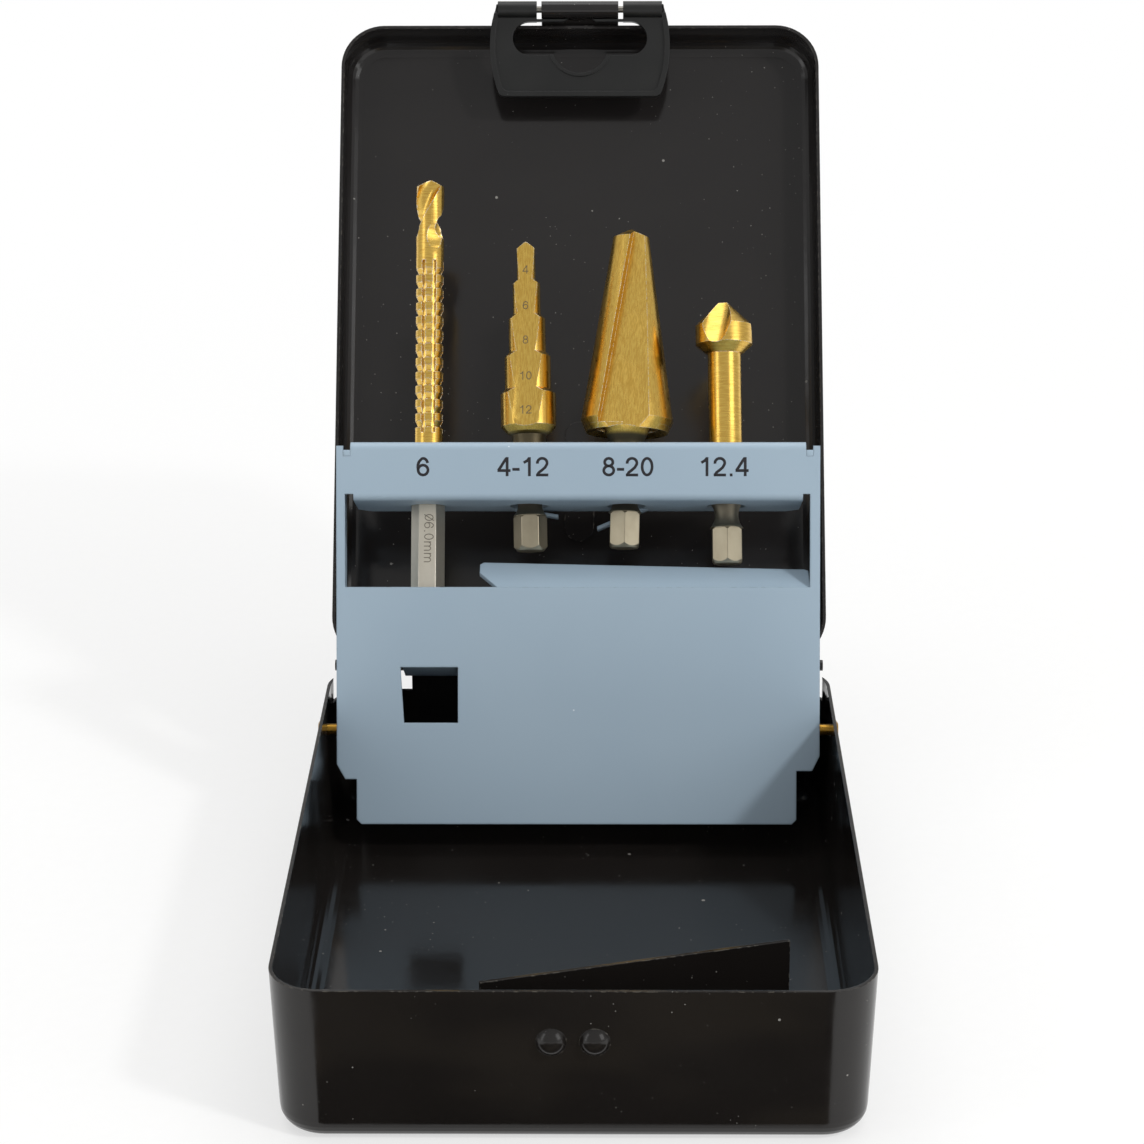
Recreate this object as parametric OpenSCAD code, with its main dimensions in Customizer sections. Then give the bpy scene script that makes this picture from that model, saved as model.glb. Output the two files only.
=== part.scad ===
// Drill bit case, open: a folded sheet tray and lid, a tilting rack with four bits, and a pull latch.
// Millimetres, Z up, front toward negative Y. The origin is the middle of the tray's underside.

/* [Case] */
// width over the rims of tray and lid
case_w = 109.4; // [109:0.2:114]
// length of tray and lid from front wall to rear wall
case_l = 147.8; // [147.6:0.2:152]
// height of the tray
tray_h = 31.3; // [31:0.1:33]
// depth of the lid
lid_h = 10; // [9:0.1:14]
// thickness of the pressed sheet
sheet = 0.7; // [0.6:0.05:0.8]
// corner radius at the rim, in plan
plan_r = 9.8; // [9.4:0.1:10.2]
// radius of the tray's bottom edge
tray_edge_r = 4; // [3:0.25:4.25]
// radius of the lid's edge
lid_edge_r = 4; // [2.5:0.25:5]
// draft of the pressed walls, degrees
draft = 2.2; // [1.6:0.1:2.4]
// how far the lid swings from open to shut, degrees
lid_swing = 121.9; // [118:0.1:124]

/* [Rack] */
// width of the rack over its side flanges
rack_w = 103.3; // [102.7:0.1:103.9]
// width of the rack's foot
rack_foot_w = 94.1; // [88:0.1:95]
// height of the face above the pivot
rack_up = 61.9; // [61:0.1:63]
// length of the foot below the pivot
rack_down = 20.1; // [16:0.1:20.2]
// thickness of the rack's sheet
rack_sheet = 0.9; // [0.7:0.05:1]
// depth of the two drilled shelves
shelf_depth = 17.5; // [16.5:0.1:18]
// how far the open rack leans back, degrees
rack_lean = 19; // [18:0.5:20]
// how much further the bits lean back than the rack's face, degrees
bit_tilt = 8.8; // [7:0.1:9]

/* [Latch] */
// width of the latch plate at its widest
latch_w = 41.2; // [40.6:0.1:43]
// length of the latch plate below its pin
latch_l = 20; // [19:0.1:21]
// thickness of the latch plate
latch_t = 1.8; // [1.4:0.1:2]

/* [Bits] */
// width across the flats of the hexagon shanks
hex_af = 6.35; // [6:0.05:6.4]
// largest step of the step drill
step_max_d = 12; // [11:0.1:12.4]
// largest diameter of the cone drill
cone_max_d = 20; // [18:0.1:20.2]
// head diameter of the countersink
sink_d = 12.4; // [10:0.1:14]
// diameter of the saw drill
saw_d = 6.1; // [5.6:0.1:6.3]

/* [Hidden] */

gap = 0.1;
half_l = case_l / 2;
half_w = case_w / 2;
slope = tan(draft);

// hinge along the rear rim
pin_r = 0.6;
run = 0.05;
knuckle_r = 1.2;
hinge_y = half_l + 1.1;
hinge_z = tray_h + 0.3;
strap_y = half_l - 0.3;
tray_knuckle = 36.8;
lid_knuckle_in = 37.2;
lid_knuckle_out = 53.8;
rear_cut = 4.8;
left_ear_x = 53.7;
right_ear_x = 53.3;
lid_rear_cut = 3.4;
leaf_h = 4;

// rack pivot
pivot_y = half_l - 21.6;
pivot_z = 26.1;
pivot_in = 2.6;
rivet_r = 1.25;
rivet_head_r = 2.4;
rack_x = rack_w / 2;
foot_mid = -0.35;
foot_x = rack_foot_w / 2;

// holes of the two shelves, from the rack's face
hole_in = 11.5;
band_h = 12.6;
saw_x = -32.5;
step_x = -10.7;
cone_x = 10.4;
sink_x = 31.9;
saw_hole_r = 3.75;
round_hole_r = 4.1;

// latch pin in the shut pose, from which the open place is worked out
latch_out = 2.97;
latch_down = 2.3;
latch_shut_y = -half_l - latch_out;
latch_shut_z = tray_h + gap - latch_down;
swing_c = cos(lid_swing);
swing_s = sin(lid_swing);
shut_dy = latch_shut_y - hinge_y;
shut_dz = latch_shut_z - hinge_z;
latch_y = hinge_y + swing_c * shut_dy + swing_s * shut_dz;
latch_z = hinge_z - swing_s * shut_dy + swing_c * shut_dz;
latch_lean = 21;
latch_knuckle_r = 1.9;
latch_pin_r = 0.75;
barrel_r = 1.9;
barrel_l = 17.6;
latch_back = 1.5;

hex_r = hex_af / 2 / cos(30);
steel = [0.62, 0.59, 0.52];
gold = [0.78, 0.6, 0.25];
black = [0.1, 0.09, 0.09];
blue_grey = [0.58, 0.65, 0.7];
brass = [0.72, 0.52, 0.2];

// section of a pressed wall, from the corner's axis outwards, with its rounded edge and some floor
module wall_section(h, edge_r, r = plan_r) {
    foot = r - (h - edge_r) * slope;
    mid = foot - edge_r;
    steps = 6;
    outer = [for (i = [0 : steps]) let (a = -90 * i / steps)
        [mid + edge_r * cos(a), edge_r + edge_r * sin(a)]];
    inner = [for (i = [0 : steps]) let (a = -90 + 90 * i / steps)
        [mid + (edge_r - sheet) * cos(a), edge_r + (edge_r - sheet) * sin(a)]];
    polygon(concat([[r, h]], outer, [[0, 0], [0, sheet]], inner, [[r - sheet, h]]));
}

// a pressed pan, open at the top, with drafted walls
module pan(w, l, h, edge_r) {
    cx = w / 2 - plan_r;
    cy = l / 2 - plan_r;
    translate([-cx, -cy, 0]) cube([2 * cx, 2 * cy, sheet]);
    for (q = [0 : 3]) {
        x = (q == 0 || q == 3) ? cx : -cx;
        y = (q < 2) ? cy : -cy;
        translate([x, y, 0]) rotate([0, 0, 90 * q])
            rotate_extrude(angle = 90, $fn = 96) wall_section(h, edge_r);
    }
    for (s = [0, 180]) {
        rotate([0, 0, s]) translate([cx, cy, 0]) rotate([90, 0, 0])
            linear_extrude(2 * cy) wall_section(h, edge_r);
        rotate([0, 0, s]) translate([-cx, cy, 0]) rotate([90, 0, 90])
            linear_extrude(2 * cx) wall_section(h, edge_r);
    }
}

module along_x(r, from, to, fn = 48) {
    translate([from, 0, 0]) rotate([0, 90, 0]) cylinder(r = r, h = to - from, $fn = fn);
}

// flat oval in the XY plane, total length l along Y
module oval(w, l, h) {
    translate([-w / 2, -(l - w) / 2, 0]) cube([w, l - w, h]);
    for (s = [-1, 1]) translate([0, s * (l - w) / 2, 0]) cylinder(d = w, h = h, $fn = 48);
}

dimple_x = 3.9;
dimple_z = 21;
dimple_r = 3;
dimple_out = 1.8;

module tray() {
    color(black) difference() {
        union() {
            pan(case_w, case_l, tray_h, tray_edge_r);
            for (s = [-1, 1])
                translate([s * dimple_x, dimple_y(), dimple_z]) sphere(r = dimple_r, $fn = 48);
            translate([0, hinge_y, hinge_z]) along_x(knuckle_r, -tray_knuckle, tray_knuckle);
            translate([-tray_knuckle, strap_y, tray_h - 6.5])
                cube([2 * tray_knuckle, sheet, 6.5 + hinge_z - tray_h]);
        }
        for (s = [-1, 1])
            translate([s * dimple_x, dimple_y(), dimple_z])
                sphere(r = dimple_r - sheet, $fn = 48);
        // only the pressed-out caps of the spheres are kept
        translate([-10, 0, 0]) rotate([90, 0, 90]) linear_extrude(20) polygon([
            [wall_inside(dimple_z - 5), dimple_z - 5], [-half_l + 8, dimple_z - 5],
            [-half_l + 8, dimple_z + 5], [wall_inside(dimple_z + 5), dimple_z + 5]]);
        translate([0, hinge_y, hinge_z])
            along_x(pin_r + run, -tray_knuckle - 1, tray_knuckle + 1);
        for (s = [-1, 1]) {
            // the rear wall is lower beside the hinge strap
            ear_x = s > 0 ? right_ear_x : left_ear_x;
            translate([s > 0 ? tray_knuckle : -ear_x, half_l - 9.5, tray_h - rear_cut])
                cube([ear_x - tray_knuckle, 9.55, rear_cut + 1]);
        }
        translate([0, pivot_y, pivot_z]) along_x(rivet_r, -half_w - 1, half_w + 1);
    }
}

// centre of a dimple's sphere, set back so that its cap stands out of the drafted wall
function dimple_y() = -half_l + (tray_h - dimple_z) * slope - dimple_out + dimple_r;

// just inside the inner face of the tray's front wall, at height z
function wall_inside(z) = -half_l + (tray_h - z) * slope + sheet + 0.02;

// angled sheet on the floor that the bits' tips meet when the case is shut
stop_x0 = -16.6;
stop_y0 = -68.3;
stop_x1 = 39.6;
stop_y1 = -52.1;
stop_top = 30;
stop_foot = 5.5;
foot_from = 20;
stop_t = 0.8;

module tip_stop() {
    turn = atan2(stop_y1 - stop_y0, stop_x1 - stop_x0);
    long = norm([stop_x1 - stop_x0, stop_y1 - stop_y0]);
    color(black) translate([stop_x0, stop_y0, sheet]) rotate([0, 0, turn]) {
        cube([long, stop_t, stop_top - sheet]);
        // its foot starts further along, clear of the bend between floor and front wall
        translate([foot_from, -stop_foot, 0]) cube([long - foot_from, stop_foot + stop_t, stop_t]);
    }
}

// brass rivet: domed head outside the wall, shank, and set head inside the rack's flange
module rivet(s) {
    wall_out = half_w - (tray_h - pivot_z) * slope;
    inside = rack_x - rack_sheet - 0.25;
    color(brass) translate([0, pivot_y, pivot_z]) rotate([0, 90 * s, 0]) {
        translate([0, 0, inside - 0.8]) cylinder(r = 1.6, h = 0.8, $fn = 48);
        translate([0, 0, inside - 0.2])
            cylinder(r = rivet_r, h = wall_out - inside + 0.5, $fn = 48);
        translate([0, 0, wall_out + 0.12]) difference() {
            cylinder(r = rivet_head_r, h = 1.1, $fn = 48);
            rotate_extrude($fn = 48) translate([0, 0.4])
                polygon([[rivet_head_r - 0.9, 0.71], [rivet_head_r + 0.1, -0.1],
                    [rivet_head_r + 0.1, 0.71]]);
        }
    }
}

module rivet_left() {
    rivet(-1);
}

module rivet_right() {
    rivet(1);
}

module hinge_pin() {
    color(steel) translate([0, hinge_y, hinge_z])
        along_x(pin_r, -lid_knuckle_out + 0.3, lid_knuckle_out - 0.3);
}

// children drawn in the shut pose are turned to the open one
module lid_open() {
    translate([0, hinge_y, hinge_z]) rotate([-lid_swing, 0, 0])
        translate([0, -hinge_y, -hinge_z]) children();
}

boss_from = 43.65;
boss_w = 6.5;
boss_l = 27.6;
boss_in = 0.35;

module lid() {
    top = tray_h + gap + lid_h;
    color(black) lid_open() difference() {
        union() {
            difference() {
                union() {
                    translate([0, 0, top]) rotate([180, 0, 0])
                        pan(case_w, case_l, lid_h, lid_edge_r);
                    // long pressed boss that stands a little into the lid
                    translate([0, hinge_y - boss_from, top - sheet - boss_in])
                        oval(boss_w, boss_l, sheet);
                }
                translate([0, hinge_y - boss_from, top - boss_in])
                    oval(boss_w - 1.4, boss_l - 1.4, 1);
                // room for the tray's hinge strap
                translate([-lid_knuckle_in, half_l - 3, tray_h - 1])
                    cube([2 * lid_knuckle_in, 4, lid_rear_cut + 1]);
            }
            for (s = [-1, 1]) {
                knuckle_x = s > 0 ? lid_knuckle_in : -lid_knuckle_out;
                translate([0, hinge_y, hinge_z])
                    along_x(knuckle_r, knuckle_x, knuckle_x + lid_knuckle_out - lid_knuckle_in);
                leaf_w = half_w - plan_r - lid_knuckle_in;
                translate([s > 0 ? lid_knuckle_in : -lid_knuckle_in - leaf_w,
                    strap_y, hinge_z]) cube([leaf_w, sheet, leaf_h]);
            }
        }
        translate([0, hinge_y, hinge_z]) along_x(pin_r + run, -half_w, half_w);
    }
}

// strap on the lid's front wall, rolled into the barrel that carries the latch pin
module latch_bracket() {
    y = latch_shut_y;
    z = latch_shut_z;
    wall_y = -half_l - 0.02;
    leaf_in = y + barrel_r;
    color(black) lid_open() difference() {
        union() {
            translate([0, y, z]) along_x(barrel_r, -barrel_l / 2, barrel_l / 2);
            translate([-barrel_l / 2, 0, 0]) rotate([90, 0, 90]) linear_extrude(barrel_l)
                polygon([[leaf_in - sheet, z], [leaf_in, z], [leaf_in, tray_h - 0.3],
                    [wall_y, tray_h + 1.4], [wall_y, tray_h + 6.5],
                    [wall_y - sheet, tray_h + 6.5], [wall_y - sheet, tray_h + 1.7],
                    [leaf_in - sheet, tray_h + 0.2]]);
        }
        translate([0, y, z]) along_x(latch_pin_r + run, -barrel_l, barrel_l);
    }
}

latch_side_r = 31;
side_mid = 8.3;
slot_w = 7.7;
slot_l = 30.8;
slot_mid = 6.6;
notch_r = 6.5;
notch_z = 8.1;

// outline of the latch plate: bowed sides and rounded lower corners, inset by d
module latch_outline(d = 0) {
    corner = 2;
    bottom = latch_l - d;
    bow = latch_side_r - latch_w / 2;
    side = sqrt(pow(latch_side_r - d, 2) - pow(bottom - corner - side_mid, 2)) - bow - corner;
    intersection() {
        translate([bow, -side_mid]) circle(r = latch_side_r - d, $fn = 128);
        translate([-bow, -side_mid]) circle(r = latch_side_r - d, $fn = 128);
        union() {
            translate([-latch_w, -bottom + corner]) square([2 * latch_w, bottom - corner + 1.2]);
            translate([-side, -bottom]) square([2 * side, corner + 1]);
            for (s = [-1, 1]) translate([s * side, -bottom + corner]) circle(r = corner, $fn = 48);
        }
    }
}

module latch_openings() {
    for (s = [-1, 1])
        translate([s * (slot_l - slot_w) / 2, -slot_mid]) circle(d = slot_w, $fn = 48);
    translate([-(slot_l - slot_w) / 2, -slot_mid - slot_w / 2]) square([slot_l - slot_w, slot_w]);
    translate([0, -notch_z]) circle(r = notch_r, $fn = 64);
}

module latch() {
    knuckle_in = 9.9;
    knuckle_out = 18.8;
    bead = 0.6;
    // it leans on the lid's rim
    color(black) translate([0, latch_y, latch_z]) rotate([-latch_lean, 0, 0]) difference() {
        union() {
            translate([0, latch_back, 0]) rotate([90, 0, 0])
                linear_extrude(latch_t) latch_outline();
            translate([0, latch_back - latch_t + 0.1, 0]) rotate([90, 0, 0])
                linear_extrude(bead + 0.1) difference() {
                    latch_outline();
                    latch_outline(1.2);
                    translate([-latch_w, -2.5]) square([2 * latch_w, 5]);
                }
            translate([0, latch_back - latch_t + 0.1, 0]) rotate([90, 0, 0])
                linear_extrude(0.5) intersection() {
                    translate([0, -notch_z]) circle(r = notch_r + 0.8, $fn = 64);
                    translate([-10, -slot_mid - slot_w / 2 - 10]) square([20, 10]);
                }
            along_x(latch_knuckle_r, -knuckle_out, -knuckle_in);
            along_x(latch_knuckle_r, knuckle_in, knuckle_out);
        }
        translate([0, 10, 0]) rotate([90, 0, 0]) linear_extrude(20) latch_openings();
        // room for the bracket's barrel, with a thinner bar left below it
        translate([-knuckle_in, -5, -2.2]) cube([2 * knuckle_in, 10, 10]);
        translate([-knuckle_in, 0.9, -slot_mid]) cube([2 * knuckle_in, 5, slot_mid]);
        along_x(latch_pin_r + run, -knuckle_out - 1, knuckle_out + 1);
    }
}

module latch_pin() {
    color(steel) translate([0, latch_y, latch_z]) along_x(latch_pin_r, -18, 18);
}

// frame of the rack: origin on its face at the pivot's height, Y into the rack, Z up the face
module in_rack() {
    translate([0, pivot_y, pivot_z]) rotate([-rack_lean, 0, 0])
        translate([0, -pivot_in, 0]) children();
}

// frame of the bits: origin on the upper shelf's top face, Z along the bits
module in_shelf() {
    in_rack() translate([0, 0, rack_up]) rotate([-bit_tilt, 0, 0]) children();
}

slot_left = -49.8;
slot_right = 49.5;
slot_low = 30.7;
window_x0 = -38;
window_x1 = -25.7;
window_low = 1.6;
window_top = 13.55;
left_step = -7.25;
right_step = -5.45;
step_drop = 3.2;
shelf_half = rack_x - 3;
low_half = 48;

module rack_face() {
    difference() {
        polygon([[-rack_x, left_step], [-rack_x, rack_up - 1], [rack_x, rack_up - 1],
            [rack_x, right_step], [rack_x - 1.6, right_step - step_drop],
            [foot_mid + foot_x, right_step - step_drop], [foot_mid + foot_x, 1 - rack_down],
            [foot_mid + foot_x - 1, -rack_down], [foot_mid - foot_x + 1, -rack_down],
            [foot_mid - foot_x, 1 - rack_down], [foot_mid - foot_x, left_step - step_drop],
            [-rack_x + 1.8, left_step - step_drop]]);
        translate([slot_left, slot_low]) square([slot_right - slot_left, rack_up - low_bend - slot_low]);
        // the upper bend takes over here, with a relief cut at each end
        translate([-shelf_half - 1.5, rack_up - high_bend]) square([2 * shelf_half + 3, 4]);
        for (s = [-1, 1])
            translate([s * (shelf_half + 0.75) - 0.75, rack_up - 3.2]) square([1.5, 4]);
        polygon([[window_x0, window_top], [window_x1, window_top],
            [window_x1, window_low], [window_x0 + 0.75, window_low]]);
    }
}

bend_r = 1.5;
// depths of the two bends' centres below the upper shelf's top face, at the rack's face
high_bend = bend_r * (1 + sin(bit_tilt)) / cos(bit_tilt);
low_bend = band_h - bend_r * (1 - sin(bit_tilt)) / cos(bit_tilt);

// one drilled shelf folded back from the face, drawn from its bend's centre height
module drilled_shelf(below, half, turn) {
    steps = 6;
    inner = hole_in - below * sin(bit_tilt);
    flat = shelf_depth - bend_r * cos(bit_tilt);
    far = [flat * cos(bit_tilt), -flat * sin(bit_tilt)];
    outer = [for (i = [0 : steps]) let (a = 180 + turn * i / steps)
        [bend_r + bend_r * cos(a), bend_r * sin(a)]];
    back = [for (i = [steps : -1 : 0]) let (a = 180 + turn * i / steps)
        [bend_r + (bend_r - rack_sheet) * cos(a), (bend_r - rack_sheet) * sin(a)]];
    lap = turn < 0 ? -1 : 1;
    difference() {
        translate([-half, 0, 0]) rotate([90, 0, 90]) linear_extrude(2 * half)
            polygon(concat([[0, lap]], outer, [outer[steps] + far, back[0] + far], back,
                [[rack_sheet, lap]]));
        rotate([-bit_tilt, 0, 0]) {
            translate([saw_x, inner, -3]) cylinder(r = saw_hole_r, h = 6, $fn = 48);
            for (x = [step_x, cone_x, sink_x])
                translate([x, inner, -3]) cylinder(r = round_hole_r, h = 6, $fn = 48);
            for (s = [-1, 1]) translate([s * half, shelf_depth, 0]) rotate([0, 0, 45])
                cube([4, 4, 8], center = true);
        }
    }
}

module rack() {
    edge = [[9, -6], [13, 0], [16, 12], [17, 30], [17, rack_up - 5],
        [14, rack_up - 2.4], [0, rack_up - 2.4]];
    rest = [[-17.2, 0], [49.6, 0], [49.5, 6.4], [48.6, 6.9], [-20.4, 9.5], [-21.2, 8.7], [-21.2, 5.6]];
    color(blue_grey) in_rack() difference() {
        union() {
            translate([0, rack_sheet, 0]) rotate([90, 0, 0]) linear_extrude(rack_sheet) rack_face();
            for (s = [-1, 1])
                translate([s > 0 ? rack_x - rack_sheet : -rack_x, 0, 0])
                    rotate([90, 0, 90]) linear_extrude(rack_sheet)
                    polygon(concat([[0, s > 0 ? right_step : left_step]], edge));
            translate([0, 0, rack_up - high_bend]) drilled_shelf(high_bend, shelf_half, -90 - bit_tilt);
            translate([0, 0, rack_up - low_bend]) drilled_shelf(low_bend, low_half, 90 - bit_tilt);
            // sloped rest under the short shanks
            translate([0, 0.3, slot_low - 0.1]) rotate([32.5, 0, 0])
                translate([0, 0, -rack_sheet])
                linear_extrude(rack_sheet) polygon(rest);
            // stop for the long shank, folded out of the window
            translate([window_x0 + 0.4, 0.3, window_top + 0.1]) rotate([-14, 0, 0])
                cube([window_x1 - window_x0 - 0.8, 11, rack_sheet]);
        }
        translate([0, pivot_in, 0]) along_x(rivet_r + run, -half_w, half_w);
    }
}

// hexagon shank with a snap groove, from its lower end at Z = 0
module shank(hex_l, groove_l, top) {
    groove_r = (pow(groove_l / 2, 2) + 1) / 2;
    intersection() {
        cylinder(r = hex_r, h = hex_l, $fn = 6);
        rotate_extrude($fn = 64) polygon([[0, 0], [hex_r - 0.75, 0], [hex_r - 0.05, 0.9],
            [hex_r - 0.05, hex_l - 0.5], [hex_r - 0.4, hex_l], [0, hex_l]]);
    }
    rotate_extrude($fn = 64) difference() {
        translate([0, hex_l - 0.1]) square([hex_r - 0.1, groove_l + 0.2]);
        translate([hex_r - 1.1 + groove_r, hex_l + groove_l / 2]) circle(r = groove_r, $fn = 64);
    }
    translate([0, 0, hex_l + groove_l]) cylinder(r = hex_r - 0.07, h = top - hex_l - groove_l, $fn = 64);
}

// a bit in its hole, leaning sideways by lean degrees
module in_hole(x, lean = 0) {
    color(gold) in_shelf() translate([x, hole_in, 0]) rotate([0, lean, 0]) children();
}

module saw_drill() {
    r = saw_d / 2;
    tip = 59.8;
    drop = 41;
    point_h = 1.6;
    teeth_from = 3.4;
    teeth_to = 41.4;
    pitch = 3.06;
    flute_from = 46.4;
    flute_angle = 21;
    helix = 33;
    in_hole(saw_x) {
        translate([0, 0, -drop]) intersection() {
            cylinder(r = hex_r, h = drop - 2, $fn = 6);
            rotate_extrude($fn = 64) polygon([[0, 0], [hex_r - 0.75, 0], [hex_r - 0.05, 0.9],
                [hex_r - 0.05, drop - 3], [hex_r - 0.5, drop - 2], [0, drop - 2]]);
        }
        translate([0, 0, -2.1]) cylinder(r = r, h = 4.6, $fn = 48);
        difference() {
            translate([0, 0, 2.4]) rotate_extrude($fn = 48) polygon([[0, 0], [r, 0],
                [r, tip - 2.4 - point_h], [0.15, tip - 2.4], [0, tip - 2.4]]);
            // rows of teeth, parted by narrow milled grooves
            for (a = [-23, 23, 157, 203]) rotate([0, 0, a - 90])
                translate([r - 0.7, -0.37, teeth_from]) cube([2, 0.74, teeth_to - teeth_from]);
            for (a = [-90, 90]) rotate([0, 0, a - 90])
                translate([r - 0.6, -0.8, teeth_from]) cube([2, 1.6, teeth_to - teeth_from]);
            for (i = [0 : 11]) translate([0, 0, teeth_from + 0.7 + pitch * i])
                rotate_extrude($fn = 48) polygon([[r - 0.65, 0.5], [r + 0.2, 0.5], [r + 0.2, 1.9],
                    [r - 0.12, 1.9]]);
            // two helical flutes with their run-outs
            for (a = [0, 180]) rotate([0, 0, a - 90 + flute_angle]) {
                translate([r + 2.35, 0, flute_from]) sphere(r = 3.4, $fn = 48);
                translate([0, 0, flute_from])
                    linear_extrude(tip - flute_from + 0.5, twist = -360 * (tip - flute_from) / helix,
                        slices = 28) translate([2.35, 0]) circle(r = 1.7, $fn = 20);
            }
        }
    }
}

// ground flute that leaves a flat face toward the front, with its cutting edge on the left
module ground_face(edge_x, face_y, top, turn, back, side) {
    for (a = [0, 180]) rotate([0, 0, a]) translate([edge_x, face_y, top]) rotate([0, 0, turn])
        rotate([-back, side, 0]) translate([0, -20, -62]) cube([20, 20, 64]);
}

module step_drill() {
    base = 3.6;
    tip = 45.9;
    drop = 22.2;
    r = step_max_d / 2;
    edges = [12.6, 20.8, 29.2, 37];
    land = 0.5;
    bevel = 0.9;
    steps = [for (i = [0 : 3]) each [[r - i, edges[i] - land], [r - i - bevel, edges[i] - land + bevel]]];
    in_hole(step_x, -1.1) {
        translate([0, 0, -drop]) shank(7.6, 5.6, drop + 1.8);
        rotate_extrude($fn = 72) polygon([[0, base - 2], [hex_r - 0.1, base - 2],
            [r - 2.2, base - 0.6], [r - 1.2, base], [0, base + 0.01]]);
        difference() {
            rotate_extrude($fn = 72) polygon(concat([[0, base], [r - 1.2, base], [r, base + 1.3]],
                steps, [[r - 4, tip - 1.4], [0.3, tip], [0, tip]]));
            ground_face(-2, -0.9, tip, -8, 5.3, 4);
        }
    }
}

module cone_drill() {
    base = 3.6;
    tip = 48.6;
    drop = 21.6;
    r = cone_max_d / 2;
    in_hole(cone_x, 1.3) {
        translate([0, 0, -drop]) rotate([0, 0, 30]) shank(7.8, 5.6, drop + 1.8);
        rotate_extrude($fn = 96) polygon([[0, base - 2.4], [hex_r - 0.1, base - 2.4],
            [hex_r + 0.8, base - 0.4], [hex_r + 1.8, base + 1.9], [0, base + 1.9]]);
        difference() {
            rotate_extrude($fn = 96) polygon([[0, base + 1.2], [r - 3.4, base + 1.2],
                [r - 1.1, base], [r, base + 2.6], [r - 6.1, tip - 1.8], [0.4, tip], [0, tip]]);
            ground_face(-0.2, -3.2, tip - 1.1, 8, 5.5, 8);
        }
    }
}

module countersink() {
    tip = 32.3;
    drop = 25;
    r = sink_d / 2;
    flat = 1.1;
    neck = 3.9;
    flute_r = 4;
    web = 0.35;
    in_hole(sink_x, -0.55) {
        translate([0, 0, -drop]) rotate([0, 0, 30]) shank(7.8, 5.4, drop + tip - 11);
        difference() {
            translate([0, 0, tip]) rotate_extrude($fn = 72) polygon([[0, 0], [flat, 0],
                [r, flat - r], [r, -9.3], [neck, -11.3], [0, -11.3]]);
            for (a = [-20, 100, 220]) rotate([0, 0, a]) translate([0, 0, tip]) rotate([-30, 0, 0])
                translate([0, -flute_r - web, -20]) cylinder(r = flute_r, h = 40, $fn = 64);
        }
    }
}

tray();
tip_stop();
rivet_left();
rivet_right();
hinge_pin();
lid();
latch_bracket();
latch();
latch_pin();
rack();
saw_drill();
step_drill();
cone_drill();
countersink();
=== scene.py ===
import math

import bpy
from mathutils import Matrix, Vector


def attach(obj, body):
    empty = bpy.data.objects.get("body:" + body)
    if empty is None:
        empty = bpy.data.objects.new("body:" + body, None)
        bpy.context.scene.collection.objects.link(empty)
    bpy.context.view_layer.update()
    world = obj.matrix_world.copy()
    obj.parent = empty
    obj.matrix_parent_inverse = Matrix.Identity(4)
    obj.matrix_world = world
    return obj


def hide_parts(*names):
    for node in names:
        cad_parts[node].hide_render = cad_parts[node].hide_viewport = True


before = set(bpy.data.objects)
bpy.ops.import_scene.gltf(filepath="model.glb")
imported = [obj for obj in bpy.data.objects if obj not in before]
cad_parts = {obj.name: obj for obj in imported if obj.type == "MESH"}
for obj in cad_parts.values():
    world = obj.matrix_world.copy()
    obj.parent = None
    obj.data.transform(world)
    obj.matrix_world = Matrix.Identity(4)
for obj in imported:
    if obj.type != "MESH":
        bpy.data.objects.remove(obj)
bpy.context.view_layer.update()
MM = 0.001

# Settings that many material nodes share
RGBA = {"out": 2, "data_type": "RGBA"}
SMOOTH = {"interpolation_type": "SMOOTHSTEP"}
TIMES = {"operation": "MULTIPLY"}
LARGER = {"operation": "MAXIMUM"}
ABOVE = {"operation": "GREATER_THAN"}


# Colours, nodes and materials
def srgb(code):
    """The linear colour of an sRGB hex value."""
    parts = [int(code[i : i + 2], 16) / 255 for i in (0, 2, 4)]
    return [p / 12.92 if p <= 0.04045 else ((p + 0.055) / 1.055) ** 2.4 for p in parts] + [1.0]


def add(tree, kind, links=None, out=0, **settings):
    """Adds a node and returns its output out; links gives its inputs values or other outputs."""
    node = tree.nodes.new("ShaderNode" + kind)
    for key, value in settings.items():
        setattr(node, key, value)
    for key, value in (links or {}).items():
        if isinstance(value, bpy.types.NodeSocket):
            tree.links.new(value, node.inputs[key])
        else:
            node.inputs[key].default_value = value
    return node.outputs[out] if len(node.outputs) else None


def new_material(name):
    material = bpy.data.materials.new(name)
    material.use_nodes = True
    material.node_tree.nodes.clear()
    return material, material.node_tree


def dress(material, *nodes):
    """Gives CAD nodes this material, in the slots that they have."""
    for name in nodes:
        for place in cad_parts[name].material_slots:
            place.material = material


def grains(tree, vector, size, detail=2.0, rough=0.5):
    """Noise from 0 to 1 with grains of that size in mm each way."""
    place = add(tree, "Mapping", {"Vector": vector, "Scale": [1 / (s * MM) for s in size]})
    links = {"Vector": place, "Scale": 1.0, "Detail": detail, "Roughness": rough}
    return add(tree, "TexNoise", links)


def specks(tree, vector, spacing, radius, share):
    """Dust: specks up to radius mm, in that share of the cells of a grid of spacing mm."""
    place = add(tree, "Mapping", {"Vector": vector, "Scale": [1 / (spacing * MM)] * 3})
    cells = add(tree, "TexVoronoi", {"Vector": place, "Scale": 1.0}).node
    chance = add(tree, "SeparateColor", {0: cells.outputs["Color"]}).node
    size = add(tree, "Math", {0: chance.outputs[1], 1: radius / spacing}, **TIMES)
    near = add(tree, "Math", {0: size, 1: cells.outputs["Distance"]}, **ABOVE)
    chosen = add(tree, "Math", {0: chance.outputs[0], 1: 1 - share}, **ABOVE)
    return add(tree, "Math", {0: near, 1: chosen}, **TIMES)


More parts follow.
